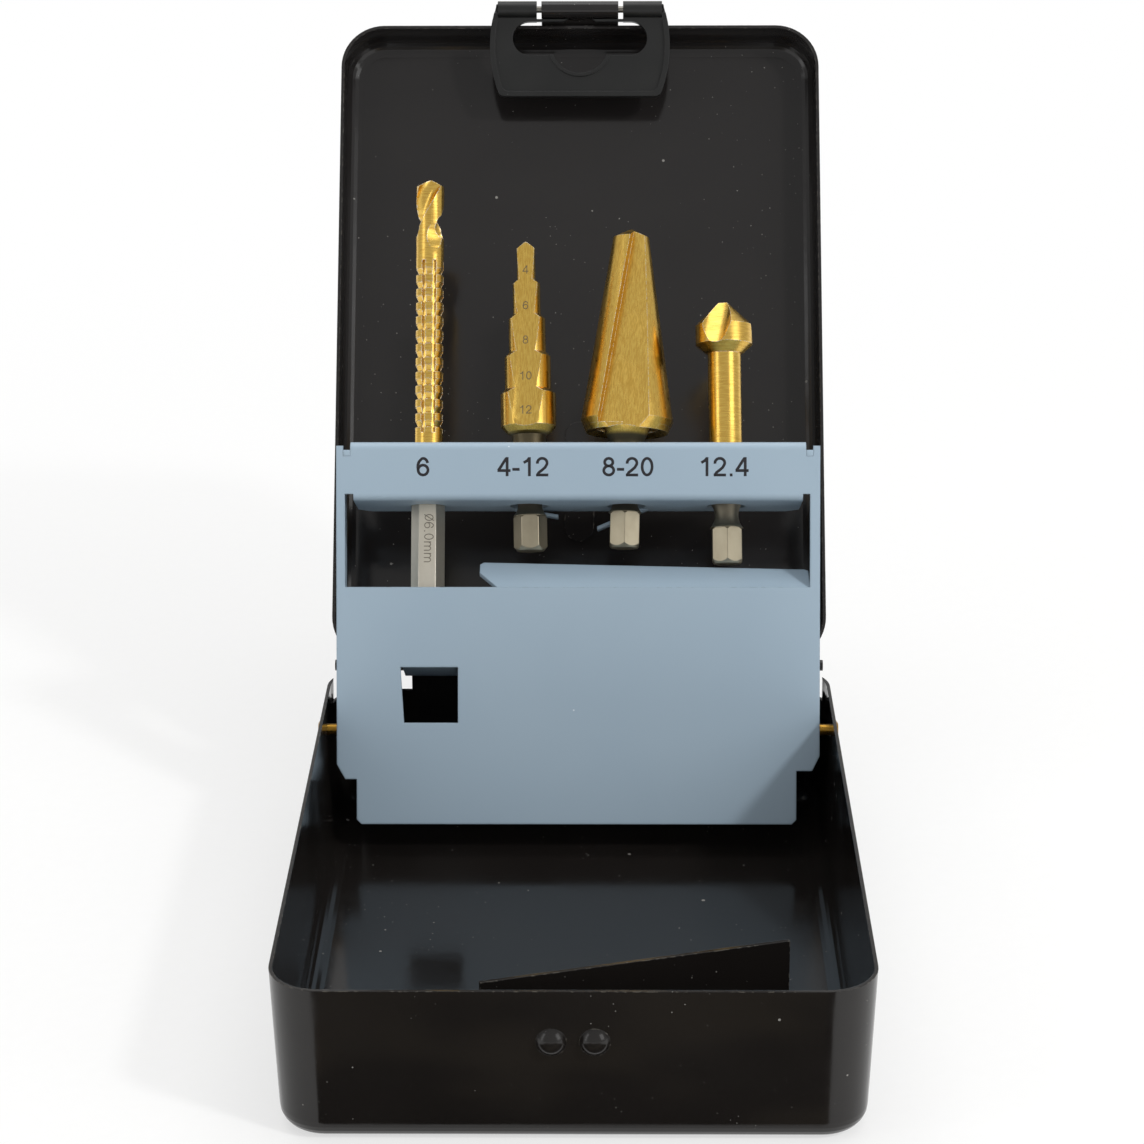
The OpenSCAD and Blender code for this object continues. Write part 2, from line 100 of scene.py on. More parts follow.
def worn_edges(tree, vector, radius, grain, patches=(0.52, 0.62), turns=(0.97, 0.8)):
    """Where edges have lost their finish: 1 on broken patches along them."""
    rounded = add(tree, "Bevel", {"Radius": radius * MM}, samples=4)
    normal = add(tree, "NewGeometry", out="Normal")
    turn = add(tree, "VectorMath", {0: rounded, 1: normal}, "Value", operation="DOT_PRODUCT")
    edge = add(tree, "MapRange", {0: turn, 1: turns[0], 2: turns[1]}, **SMOOTH)
    rubbing = grains(tree, vector, (grain,) * 3, 3.0)
    patch = add(tree, "MapRange", {0: rubbing, 1: patches[0], 2: patches[1]}, **SMOOTH)
    return add(tree, "Math", {0: edge, 1: patch}, **TIMES)


def textured(tree, height, strength, depth, rounding):
    """The normal of a surface with height up to depth mm, its edges rounded by rounding mm."""
    edge = add(tree, "Bevel", {"Radius": rounding * MM}, samples=4)
    links = {"Strength": strength, "Distance": depth * MM, "Height": height, "Normal": edge}
    return add(tree, "Bump", links)


# Frames of the tilted parts, repeated from the part's own sizes
def turned(x=0.0, y=0.0, z=0.0):
    spin = Matrix.Identity(4)
    for angle, axis in ((x, "X"), (y, "Y"), (z, "Z")):
        spin = Matrix.Rotation(math.radians(angle), 4, axis) @ spin
    return spin


def moved(x=0.0, y=0.0, z=0.0):
    return Matrix.Translation(Vector((x, y, z)) * MM)


RACK_LEAN = 19.0
BIT_TILT = 8.8
RACK_UP = 61.9
HOLE_IN = 11.5
IN_RACK = moved(0, 52.3, 26.1) @ turned(x=-RACK_LEAN) @ moved(0, -2.6, 0)
IN_SHELF = IN_RACK @ moved(0, 0, RACK_UP) @ turned(x=-BIT_TILT)


def in_hole(x, lean):
    return IN_SHELF @ moved(x, HOLE_IN, 0) @ turned(y=lean)


SAW = in_hole(-32.5, 0)
STEP = in_hole(-10.7, -1.1)
CONE = in_hole(10.4, 1.3)
SINK = in_hole(31.9, -0.55)
# Lettering is drawn in XY and stood up on a face that looks toward negative Y
UPRIGHT = turned(x=90)


# Stoved black enamel on pressed steel: deep, glossy, slightly rippled, with dust and edge wear
def black_enamel(name, offset, dark, light):
    material, tree = new_material(name)
    place = add(tree, "TexCoord", out="Object")
    place = add(tree, "Mapping", {"Vector": place, "Location": (offset, offset, 0)})
    smudge = grains(tree, place, (34, 34, 21), 3.0, 0.55)
    ripple = grains(tree, place, (2.2, 2.2, 2.2), 1.0)
    coarse = specks(tree, place, 5.5, 0.42, 0.4)
    small = specks(tree, place, 2.4, 0.16, 0.35)
    dust = add(tree, "Math", {0: coarse, 1: small}, **LARGER)
    corners = grains(tree, place, (26, 26, 30), 2.0)
    swept = add(tree, "MapRange", {0: corners, 1: 0.46, 2: 0.58}, **SMOOTH)
    fine = add(tree, "Math", {0: specks(tree, place, 1.1, 0.12, 0.5), 1: swept}, **TIMES)
    dust = add(tree, "Math", {0: dust, 1: fine}, **LARGER)
    chips = worn_edges(tree, place, 0.35, 1.1)
    dulled = add(tree, "Math", {0: dust, 1: 0.55}, **TIMES)
    bared = add(tree, "Math", {0: chips, 1: 0.5}, **TIMES)
    colour = add(tree, "Mix", {0: smudge, 6: srgb(dark), 7: srgb(light)}, **RGBA)
    colour = add(tree, "Mix", {0: dulled, 6: colour, 7: srgb("A8A6A0")}, **RGBA)
    colour = add(tree, "Mix", {0: bared, 6: colour, 7: srgb("8C877C")}, **RGBA)
    rough = add(tree, "MapRange", {0: smudge, 1: 0.3, 2: 0.7, 3: 0.09, 4: 0.2}, **SMOOTH)
    matt = add(tree, "Math", {0: dust, 1: 0.5}, **TIMES)
    rough = add(tree, "Math", {0: rough, 1: matt}, operation="ADD")
    normal = textured(tree, ripple, 0.35, 0.03, 0.25)
    links = {"Base Color": colour, "Roughness": rough, "IOR": 1.45, "Normal": normal}
    shader = add(tree, "BsdfPrincipled", links)
    add(tree, "OutputMaterial", {"Surface": shader})
    return material


# Blue-grey powder coat on folded steel: satin, fine stipple, a little rubbed at the edges
def rack_coat():
    material, tree = new_material("blue_grey_powder_coat")
    place = add(tree, "TexCoord", out="Object")
    tone = grains(tree, place, (26, 26, 40), 2.0)
    stipple = grains(tree, place, (0.55, 0.55, 0.55), 2.0)
    dust = specks(tree, place, 6.5, 0.22, 0.3)
    chips = worn_edges(tree, place, 0.3, 1.6)
    bared = add(tree, "Math", {0: chips, 1: 0.45}, **TIMES)
    dulled = add(tree, "Math", {0: dust, 1: 0.6}, **TIMES)
    colour = add(tree, "Mix", {0: tone, 6: srgb("9AAEBE"), 7: srgb("A3B6C4")}, **RGBA)
    colour = add(tree, "Mix", {0: bared, 6: colour, 7: srgb("5E6468")}, **RGBA)
    colour = add(tree, "Mix", {0: dulled, 6: colour, 7: srgb("E9EDEF")}, **RGBA)
    rough = add(tree, "MapRange", {0: stipple, 1: 0.2, 2: 0.8, 3: 0.36, 4: 0.5}, **SMOOTH)
    normal = textured(tree, stipple, 0.25, 0.02, 0.45)
    links = {"Base Color": colour, "Roughness": rough, "IOR": 1.5, "Normal": normal}
    shader = add(tree, "BsdfPrincipled", links)
    add(tree, "OutputMaterial", {"Surface": shader})
    return material


# Injection moulded black polypropylene with a spark-eroded grain, drawn coarser than it is
def latch_plastic():
    material, tree = new_material("moulded_black_plastic")
    place = add(tree, "TexCoord", out="Object")
    tone = grains(tree, place, (9, 9, 9), 2.0)
    grain = grains(tree, place, (0.3, 0.3, 0.3), 2.0)
    coarse = specks(tree, place, 3.6, 0.2, 0.35)
    dust = add(tree, "Math", {0: coarse, 1: specks(tree, place, 1.5, 0.08, 0.25)}, **LARGER)
    dulled = add(tree, "Math", {0: dust, 1: 0.6}, **TIMES)
    colour = add(tree, "Mix", {0: tone, 6: srgb("0D0E0E"), 7: srgb("161615")}, **RGBA)
    colour = add(tree, "Mix", {0: dulled, 6: colour, 7: srgb("9A9A96")}, **RGBA)
    rough = add(tree, "MapRange", {0: tone, 1: 0.3, 2: 0.7, 3: 0.34, 4: 0.46}, **SMOOTH)
    normal = textured(tree, grain, 0.3, 0.015, 0.3)
    links = {"Base Color": colour, "Roughness": rough, "IOR": 1.49, "Normal": normal}
    shader = add(tree, "BsdfPrincipled", links)
    add(tree, "OutputMaterial", {"Surface": shader})
    return material


# Turned brass: yellow metal with fine rings and a slightly dulled face
def turned_brass():
    material, tree = new_material("turned_brass")
    place = add(tree, "TexCoord", out="Object")
    ring = grains(tree, place, (0.12, 1.5, 1.5), 2.0)
    dull = grains(tree, place, (1.6, 1.6, 1.6), 3.0)
    normal = add(tree, "Bump", {"Strength": 0.3, "Distance": 0.01 * MM, "Height": ring})
    colour = add(tree, "Mix", {0: dull, 6: srgb("C0963F"), 7: srgb("8E6626")}, **RGBA)
    rough = add(tree, "MapRange", {0: dull, 1: 0.3, 2: 0.7, 3: 0.2, 4: 0.4}, **SMOOTH)
    links = {"Base Color": colour, "Metallic": 1.0, "Roughness": rough, "Normal": normal}
    shader = add(tree, "BsdfPrincipled", links)
    add(tree, "OutputMaterial", {"Surface": shader})
    return material


# Drawn steel wire: bright, with fine lines along its length
def drawn_wire():
    material, tree = new_material("drawn_steel_wire")
    place = add(tree, "TexCoord", out="Object")
    line = grains(tree, place, (12, 0.1, 0.1), 2.0)
    stain = grains(tree, place, (5, 2, 2), 3.0)
    normal = add(tree, "Bump", {"Strength": 0.25, "Distance": 0.008 * MM, "Height": line})
    colour = add(tree, "Mix", {0: stain, 6: srgb("A5A29B"), 7: srgb("75716A")}, **RGBA)
    rough = add(tree, "MapRange", {0: stain, 1: 0.3, 2: 0.7, 3: 0.24, 4: 0.42}, **SMOOTH)
    links = {"Base Color": colour, "Metallic": 1.0, "Roughness": rough, "Normal": normal}
    shader = add(tree, "BsdfPrincipled", links)
    add(tree, "OutputMaterial", {"Surface": shader})
    return material


# Titanium nitride on ground high-speed steel: warm gold that follows the grinding lines;
# the shank is bare steel, darker in its groove, with crosswise milling lines on the flats;
# at the neck, next to the shelf, the steel is darkened as painted shade;
# the grinding and milling lines are drawn coarser than real ones, so they show
NECK_SHADE_LOW = -3


def coated_bit(
    name, local, coat_from, lines, groove=None, bright="C4BAA2", dull="958B76", wear=0.24
):
    """groove is the lower and upper height of the turned groove; wear is in mm from an edge."""
    material, tree = new_material(name)
    place = add(tree, "TexCoord", out="Object")
    along = add(
        tree,
        "Mapping",
        {"Vector": place, "Location": local.to_translation(), "Rotation": local.to_euler()},
        vector_type="TEXTURE",
    )
    height = add(tree, "SeparateXYZ", {0: along}, 2)
    low, high = (coat_from - 0.5) * MM, (coat_from + 0.5) * MM
    coat = add(tree, "MapRange", {0: height, 1: low, 2: high}, **SMOOTH)
    ground = grains(tree, along, lines, 3.0, 0.6)
    milled = grains(tree, along, (6, 6, 0.28), 2.0)
    cloud = grains(tree, along, (5, 5, 8), 3.0, 0.6)
    streak = add(tree, "MapRange", {0: ground, 1: 0.35, 2: 0.65}, **SMOOTH)
    gold = add(tree, "Mix", {0: cloud, 6: srgb("EEC25E"), 7: srgb("C89C46")}, **RGBA)
    gold = add(tree, "Mix", {0: streak, 6: gold, 7: srgb("F2CB68")}, **RGBA)
    # Painted shade: the steel above this height, at the neck next to the shelf, is darkened
    low, high = NECK_SHADE_LOW * MM, (NECK_SHADE_LOW + 1) * MM
    neck_shade = add(tree, "MapRange", {0: height, 1: low, 2: high}, **SMOOTH)
    steel = add(tree, "Mix", {0: cloud, 6: srgb(bright), 7: srgb(dull)}, **RGBA)
    steel = add(tree, "Mix", {0: neck_shade, 6: steel, 7: srgb("655B47")}, **RGBA)
    rough_steel = 0.42
    if groove:
        low, high = [[(edge - 0.3) * MM, (edge + 0.3) * MM] for edge in groove]
        above = add(tree, "MapRange", {0: height, 1: low[0], 2: low[1]}, **SMOOTH)
        below = add(tree, "MapRange", {0: height, 1: high[1], 2: high[0]}, **SMOOTH)
        in_groove = add(tree, "Math", {0: above, 1: below}, **TIMES)
        steel = add(tree, "Mix", {0: in_groove, 6: steel, 7: srgb("7A7466")}, **RGBA)
        rough_steel = add(tree, "MapRange", {0: in_groove, 3: 0.42, 4: 0.5}, **SMOOTH)
    rubbed = worn_edges(tree, place, wear, 0.5, (0.4, 0.52), (0.99, 0.93))
    rubbed = add(tree, "Math", {0: rubbed, 1: 0.9}, **TIMES)
    gold = add(tree, "Mix", {0: rubbed, 6: gold, 7: srgb("EFE9DA")}, **RGBA)
    normal = textured(tree, ground, 0.5, 0.012, 0.08)
    bare = add(tree, "Math", {0: 1.0, 1: coat}, operation="SUBTRACT")
    links = {"Strength": add(tree, "Math", {0: bare, 1: 0.6}, **TIMES), "Distance": 0.02 * MM}
    normal = add(tree, "Bump", {**links, "Height": milled, "Normal": normal})
    rough_gold = add(tree, "MapRange", {0: cloud, 1: 0.3, 2: 0.7, 3: 0.2, 4: 0.32}, **SMOOTH)
    rough = add(tree, "Mix", {0: coat, 2: rough_steel, 3: rough_gold})
    colour = add(tree, "Mix", {0: coat, 6: steel, 7: gold}, **RGBA)
    links = {"Base Color": colour, "Metallic": 1.0, "Roughness": rough, "Normal": normal}
    shader = add(tree, "BsdfPrincipled", links)
    add(tree, "OutputMaterial", {"Surface": shader})
    return material


# Screen-printed ink, black and slightly porous, or a laser burn, dull and uneven at its edges
def marking(name, dark, light, pore, rough):
    material, tree = new_material(name)
    place = add(tree, "TexCoord", out="Object")
    spot = grains(tree, place, (pore, pore, pore), 2.0)
    colour = add(tree, "Mix", {0: spot, 6: srgb(dark), 7: srgb(light)}, **RGBA)
    links = {0: spot, 1: 0.2, 2: 0.8, 3: rough[0], 4: rough[1]}
    rough = add(tree, "MapRange", links, **SMOOTH)
    shader = add(tree, "BsdfPrincipled", {"Base Color": colour, "Roughness": rough, "IOR": 1.5})
    add(tree, "OutputMaterial", {"Surface": shader})
    return material


# The tray and tip stop get a darker copy of the lid's enamel: painted shade for the inside of the
# tray
dress(black_enamel("tray_black_enamel_painted_shade", 0.0, "151312", "201D1B"), "tray", "tip_stop")
dress(black_enamel("lid_black_enamel", 0.31, "1D1B1B", "242221"), "lid", "latch_bracket")
dress(latch_plastic(), "latch")
dress(drawn_wire(), "latch_pin", "hinge_pin")
dress(turned_brass(), "rivet_left", "rivet_right")
coat = rack_coat()
dress(coat, "rack")
saw_finish = coated_bit(
    "saw_drill_nitride", SAW, 0.6, (2, 2, 0.2), bright="ECE6D8", dull="CCC5B4", wear=0.4
)
dress(saw_finish, "saw_drill")
step_finish = coated_bit("step_drill_nitride", STEP, 3.4, (0.22, 0.22, 14), (-14.6, -9.0))
dress(step_finish, "step_drill")
cone_finish = coated_bit("cone_drill_nitride", CONE, 3.2, (0.22, 0.22, 30), (-13.8, -8.2))
dress(cone_finish, "cone_drill")
sink_finish = coated_bit("countersink_nitride", SINK, -1.0, (3, 3, 0.2), (-17.0, -11.8))
dress(sink_finish, "countersink")


# Tools for the pieces that are modelled here, which are built in mm and then laid in place
def only(piece):
    bpy.ops.object.select_all(action="DESELECT")
    piece.select_set(True)
    bpy.context.view_layer.objects.active = piece


def set_down():
    """Moves the active object's place, turn and size into its mesh."""
    bpy.ops.object.transform_apply(location=True, rotation=True, scale=True)


def laid(piece, place):
    only(piece)
    piece.matrix_world = place @ Matrix.Scale(MM, 4)
    set_down()


def drawn_line(name, points):
    """Edges through (x, z) points in mm, left in edit mode with all of them selected."""
    bpy.ops.object.select_all(action="DESELECT")
    bpy.ops.mesh.primitive_plane_add(size=1, location=(0, 0, 0))
    piece = bpy.context.object
    piece.name = name
    bpy.ops.object.mode_set(mode="EDIT")
    bpy.ops.mesh.select_all(action="SELECT")
    bpy.ops.mesh.merge(type="CENTER")
    bpy.ops.transform.translate(value=(points[0][0], 0, points[0][1]))
    for (x0, z0), (x1, z1) in zip(points, points[1:]):
        bpy.ops.mesh.extrude_region_move(TRANSFORM_OT_translate={"value": (x1 - x0, 0, z1 - z0)})
    bpy.ops.mesh.select_all(action="SELECT")
    return piece


SAME_PLACE = 0.0005


def spun(name, profile, steps):
    """A turned solid: its profile of (radius, height) points starts and ends on the axis."""
    piece = drawn_line(name, profile)
    bpy.ops.mesh.spin(steps=steps, angle=math.tau, center=(0, 0, 0), axis=(0, 0, 1))
    bpy.ops.mesh.select_all(action="SELECT")
    bpy.ops.mesh.remove_doubles(threshold=SAME_PLACE)
    bpy.ops.mesh.normals_make_consistent(inside=False)
    bpy.ops.object.mode_set(mode="OBJECT")
    return piece


def carved(piece, tool):
    """Cuts tool, which is used up, out of piece."""
    only(piece)
    bpy.ops.object.modifier_add(type="BOOLEAN")
    change = piece.modifiers[-1]
    change.operation = "DIFFERENCE"
    change.solver = "EXACT"
    change.object = tool
    bpy.ops.object.modifier_apply(modifier=change.name)
    bpy.data.objects.remove(tool)


CUT_DEEP = 20
CUT_BELOW = 60
CUT_TALL = 64


def flat_cut(place, left):
    """A cutting block whose back face is the XZ plane of place, from left mm to CUT_DEEP."""
    bpy.ops.object.select_all(action="DESELECT")
    bpy.ops.mesh.primitive_cube_add(size=1, location=(0, 0, 0))
    tool = bpy.context.object
    corner = Matrix.Translation((left, -CUT_DEEP, -CUT_BELOW))
    size = Matrix.Diagonal((CUT_DEEP - left, CUT_DEEP, CUT_TALL, 1))
    tool.matrix_world = place @ corner @ size @ Matrix.Translation((0.5, 0.5, 0.5))
    set_down()
    return tool


def helix_cut(radius, out, start, low, high, pitch):
    """A helical cutter: a circle that climbs from low to high, right-handed, from angle start."""
    angle = math.radians(start)
    bpy.ops.object.select_all(action="DESELECT")
    bpy.ops.mesh.primitive_circle_add(vertices=48, radius=radius, location=(0, 0, 0))
    tool = bpy.context.object
    tool.location = (out * math.cos(angle), out * math.sin(angle), low)
    set_down()
    bpy.ops.object.modifier_add(type="SCREW")
    sweep = tool.modifiers[-1]
    sweep.axis = "Z"
    sweep.angle = math.tau * (high - low) / pitch
    sweep.screw_offset = high - low
    sweep.steps = sweep.render_steps = 48
    bpy.ops.object.modifier_apply(modifier=sweep.name)
    bpy.ops.object.mode_set(mode="EDIT")
    bpy.ops.mesh.select_all(action="SELECT")
    bpy.ops.mesh.fill_holes(sides=0)
    bpy.ops.mesh.select_all(action="SELECT")
    bpy.ops.mesh.normals_make_consistent(inside=False)
    bpy.ops.object.mode_set(mode="OBJECT")
    return tool


def scoop_cut(radius, flat, out, angle, height):
    """A round cutter at that angle and height, out mm from the axis, flat times as wide."""
    turn = math.radians(angle)
    bpy.ops.object.select_all(action="DESELECT")
    bpy.ops.mesh.primitive_uv_sphere_add(segments=96, ring_count=48, radius=radius)
    tool = bpy.context.object
    centre = Matrix.Translation((out * math.cos(turn), out * math.sin(turn), height))
    tool.matrix_world = centre @ turned(z=angle) @ Matrix.Diagonal((1, flat, 1, 1))
    set_down()
    return tool


def kept_shank(node, local, height):
    """A merged copy of a CAD bit without what lies above height mm along it."""
    piece = bpy.data.objects.new(node + "_shank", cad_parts[node].data.copy())
    bpy.context.scene.collection.objects.link(piece)
    only(piece)
    bpy.ops.object.mode_set(mode="EDIT")
    bpy.ops.mesh.select_all(action="SELECT")
    bpy.ops.mesh.remove_doubles(threshold=1e-7)
    bpy.ops.mesh.select_all(action="SELECT")
    bpy.ops.mesh.bisect(
        plane_co=local @ Vector((0, 0, height * MM)),
        plane_no=local.to_3x3() @ Vector((0, 0, 1)),
        use_fill=True,
        clear_outer=True,
    )
    bpy.ops.object.mode_set(mode="OBJECT")
    bpy.ops.mesh.customdata_custom_splitnormals_clear()
    return piece


def ground_bit(name, node, local, top, shank, finish):
    """Joins the part modelled here to the kept CAD shank, in place of the CAD bit."""
    laid(top, local)
    shank.select_set(True)
    bpy.context.view_layer.objects.active = top
    bpy.ops.object.join()
    top.name = name
    top.data.materials.clear()
    top.data.materials.append(finish)
    for face in top.data.polygons:
        face.material_index = 0
    only(top)
    bpy.ops.object.shade_smooth_by_angle(angle=math.radians(28))
    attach(top, node)
    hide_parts(node)


BOTH_SIDES = (0, 180)
# The step and cone bodies start this far in mm above their kept shanks, so no faces coincide
SEAM = 0.01

# Saw drill: two-flute twist point with almond run-outs, on the CAD's rasp body and shank
SAW_R = 3.05
SAW_TIP = 59.8
SAW_JOIN = 42.3
SAW_RISE = 1.7
FLUTE_R = 2.75
FLUTE_OUT = 3.3
FLUTE_TURN = -9.8
FLUTE_LOW = 49.0
FLUTE_PITCH = 33
ALMOND = {"radius": 6.5, "flat": 1.4, "out": 8.9, "height": 46.7}
ALMOND_TURN = -66
saw_profile = [(0, SAW_JOIN), (SAW_R, SAW_JOIN), (SAW_R, SAW_TIP - SAW_RISE)]
point = spun("saw_point", saw_profile + [(0.12, SAW_TIP), (0, SAW_TIP)], 96)
for side in BOTH_SIDES:
    start = side + FLUTE_TURN
    carved(point, helix_cut(FLUTE_R, FLUTE_OUT, start, FLUTE_LOW, SAW_TIP + 0.6, FLUTE_PITCH))
    carved(point, scoop_cut(FLUTE_R, 1.0, FLUTE_OUT, start, FLUTE_LOW + 0.05))
    carved(point, scoop_cut(angle=side + ALMOND_TURN, **ALMOND))
shank = kept_shank("saw_drill", SAW, SAW_JOIN)
ground_bit("saw_drill_ground", "saw_drill", SAW, point, shank, saw_finish)

# Step drill: a flat ground along each side, square to the steps
STEP_JOIN = 3.6
STEP_TIP = 45.9
STEP_TURN = -6.0
STEP_BACK = 7.1
STEP_WEB = 0.4
STEP_R = 6
STEP_EDGES = (12.6, 20.8, 29.2, 37.0)
step_profile = [(0, STEP_JOIN + SEAM), (4.8, STEP_JOIN + SEAM), (STEP_R, 4.9)]
for i, edge in enumerate(STEP_EDGES):
    step_profile += [(STEP_R - i, edge - 0.5), (5.1 - i, edge + 0.4), (5 - i, edge + 0.45)]
step_profile += [(2, 44.4), (0.3, STEP_TIP), (0, STEP_TIP)]
steps = spun("step_body", step_profile, 128)
for side in BOTH_SIDES:
    cut = turned(z=side + STEP_TURN) @ Matrix.Translation((0, -STEP_WEB, STEP_TIP))
    carved(steps, flat_cut(cut @ turned(x=-STEP_BACK), -CUT_DEEP))
shank = kept_shank("step_drill", STEP, STEP_JOIN)
ground_bit("step_drill_ground", "step_drill", STEP, steps, shank, step_finish)

# Cone drill: one straight flute a side, its cutting ridge on the left
CONE_JOIN = 4.8
CONE_SHOULDER = 46.8
CONE_TIP = 48.6
cone_profile = [(0, CONE_JOIN), (6.6, CONE_JOIN), (8.9, 3.6), (10, 6.2), (3.9, CONE_SHOULDER)]
cone = spun("cone_body", cone_profile + [(0.4, CONE_TIP), (0, CONE_TIP)], 128)
for side in BOTH_SIDES:
    cut = turned(z=side) @ Matrix.Translation((0.41, -1.85, CONE_SHOULDER)) @ turned(z=-16.6)
    carved(cone, flat_cut(cut @ turned(x=-7.9, y=6.7), 0))
shank = kept_shank("cone_drill", CONE, CONE_JOIN - SEAM)
ground_bit("cone_drill_ground", "cone_drill", CONE, cone, shank, cone_finish)


# Folded rack: spring tongues under the lower shelf, and the filled part of the corner reliefs
def rack_sheet(name, outline, depth, place, rounding):
    """A bent sheet of the rack: its outline in XZ, in mm, is extruded along Y by depth."""
    piece = drawn_line(name, outline + outline[:1])
    bpy.ops.mesh.remove_doubles(threshold=SAME_PLACE)
    bpy.ops.mesh.select_all(action="SELECT")
    bpy.ops.mesh.edge_face_add()
    bpy.ops.mesh.extrude_region_move(TRANSFORM_OT_translate={"value": (0, depth, 0)})
    bpy.ops.mesh.select_all(action="SELECT")
    bpy.ops.mesh.normals_make_consistent(inside=False)
    bpy.ops.mesh.bevel(offset=rounding, segments=2)
    bpy.ops.object.mode_set(mode="OBJECT")
    laid(piece, place)
    piece.data.materials.append(coat)
    bpy.ops.object.shade_smooth_by_angle(angle=math.radians(40))
    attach(piece, "rack")


RACK_SHEET = 0.9
LOW_SHELF = -12.45
TONGUE_BACK = 15.8
TONGUE_WIDE = 3.2
TONGUE_ROUND = 0.12
FILL_ROUND = 0.04
BEHIND_SHANKS = IN_SHELF @ moved(0, TONGUE_BACK, LOW_SHELF)
STEP_TONGUE = [(-17.2, 0.1), (-14.6, 0.1), (-12.6, -0.5), (-4.4, -1.9)]
STEP_TONGUE += [(-4.4, -1.2), (-12.4, 0.2), (-14.4, 0.7), (-17.2, 0.7)]
CONE_TONGUE = [(17.6, 0.1), (15.4, 0.1), (13.2, -0.7), (4.2, -4.6)]
CONE_TONGUE += [(4.0, -3.8), (13.0, 0.1), (15.2, 0.7), (17.6, 0.7)]
rack_sheet("step_tongue", STEP_TONGUE, TONGUE_WIDE, BEHIND_SHANKS, TONGUE_ROUND)
rack_sheet("cone_tongue", CONE_TONGUE, TONGUE_WIDE, BEHIND_SHANKS, TONGUE_ROUND)
RELIEF_WIDE = 1.5
RELIEF_LOW = 58.6
FILL_TOP = 60.0
for name, x in (("corner_left", -50.15), ("corner_right", 48.65)):
    right = x + RELIEF_WIDE
    outline = [(x, RELIEF_LOW), (right, RELIEF_LOW), (right, FILL_TOP), (x, FILL_TOP)]
    rack_sheet(name, outline, RACK_SHEET, IN_RACK, FILL_ROUND)


# Printed and burnt numbers: strokes of a plain grotesque alphabet, for a cap height of 1
def arc(x, y, across, tall, start, end):
    count = max(4, int(abs(end - start) / 12))
    turns = [math.radians(start + (end - start) * i / count) for i in range(count + 1)]
    return [(x + across * math.cos(t), y + tall * math.sin(t)) for t in turns]


WIDE = 0.777
GLYPHS = {
    "0": (WIDE, [arc(0.387, 0.5, 0.262, 0.437, 0, 360)]),
    "1": (WIDE, [[(0.47, 0), (0.47, 1)], [(0.45, 0.93), (0.35, 0.81), (0.17, 0.71)]]),
    "2": (
        WIDE,
        [
            arc(0.37, 0.7, 0.255, 0.237, 190, -25)
            + [(0.52, 0.46), (0.36, 0.32), (0.2, 0.2), (0.1, 0.04)],
            [(0.05, 0.0625), (0.69, 0.0625)],
        ],
    ),
    "4": (
        WIDE,
        [[(0.54, 0), (0.54, 1)], [(0.5, 0.95), (0.08, 0.3)], [(0.03, 0.295), (0.72, 0.295)]],
    ),
    "6": (
        WIDE,
        [
            arc(0.41, 0.56, 0.245, 0.377, 20, 110)
            + arc(0.42, 0.5, 0.3, 0.42, 125, 195)[1:]
            + [(0.135, 0.3)],
            arc(0.395, 0.322, 0.26, 0.26, 0, 360),
        ],
    ),
    "8": (WIDE, [arc(0.387, 0.737, 0.215, 0.2, 0, 360), arc(0.387, 0.3, 0.262, 0.238, 0, 360)]),
    "-": (0.465, [[(0.04, 0.36), (0.42, 0.36)]]),
    ".": (0.388, [[(0.12, 0.066), (0.26, 0.066)]]),
    "O": (WIDE, [arc(0.387, 0.5, 0.29, 0.4, 0, 360), [(0.08, 0.02), (0.7, 0.98)]]),
    "m": (
        1.16,
        [
            [(0.14, 0), (0.14, 0.72)],
            arc(0.36, 0.45, 0.2, 0.22, 180, 0) + [(0.56, 0)],
            arc(0.78, 0.45, 0.2, 0.22, 180, 0) + [(0.98, 0)],
        ],
    ),
}


def lettering(name, words, place, height, weight, proud, body, finish):
    """Flat strokes on place, centred, for that cap height in mm, with weight as a share of it."""
    lines = bpy.data.curves.new(name, "CURVE")
    lines.dimensions = "3D"
    lines.bevel_depth = weight / 2
    lines.bevel_resolution = 1
    lines.use_fill_caps = True
    left = -sum(GLYPHS[character][0] for character in words) / 2
    for character in words:
        advance, strokes = GLYPHS[character]
        for stroke in strokes:
            closed = (Vector(stroke[0]) - Vector(stroke[-1])).length < 1e-6
            points = stroke[:-1] if closed else stroke
            spline = lines.splines.new("POLY")
            spline.points.add(len(points) - 1)
            spline.use_cyclic_u = closed
            for corner, (x, y) in zip(spline.points, points):
                corner.co = (left + x, y, 0, 1)
        left += advance
    text = bpy.data.objects.new(name, lines)
    bpy.context.scene.collection.objects.link(text)
    only(text)
    bpy.ops.object.convert(target="MESH")
    text = bpy.context.object
    size = Matrix.Diagonal((height * MM, height * MM, 2 * proud * MM / weight, 1))
    text.matrix_world = place @ UPRIGHT @ size
    set_down()
    text.data.materials.append(finish)
    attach(text, body)


PRINT_LINE = 54.4
PRINT_CAP = 4.05
PRINT_WEIGHT = 0.15
PRINT_THICK = 0.03
ink = marking("screen_print_ink", "17151A", "262429", 0.25, (0.42, 0.6))
for name, words, middle in (
    ("number_6", "6", -33.1),
    ("number_4_12", "4-12", -11.65),
    ("number_8_20", "8-20", 10.65),
    ("number_12_4", "12.4", 31.1),
):
    place = IN_RACK @ moved(middle, 0, PRINT_LINE)
    lettering(name, words, place, PRINT_CAP, PRINT_WEIGHT, PRINT_THICK, "rack", ink)

BURN_PORE = 0.18
BURN_ROUGH = (0.5, 0.7)
BURN_THICK = 0.02
burn = marking("laser_mark_on_nitride", "5E5036", "746344", BURN_PORE, BURN_ROUGH)
for words, z in (("4", 38.6), ("6", 30.5), ("8", 22.7), ("10", 14.6), ("12", 7.0)):
    out = STEP_WEB + (STEP_TIP - z) * math.tan(math.radians(STEP_BACK))
    face = STEP @ turned(z=STEP_TURN) @ moved(0, -out, z) @ turned(x=-STEP_BACK)
    name = "step_mark_" + words
    lettering(name, words, face, 1.9, 0.11, BURN_THICK, "step_drill", burn)
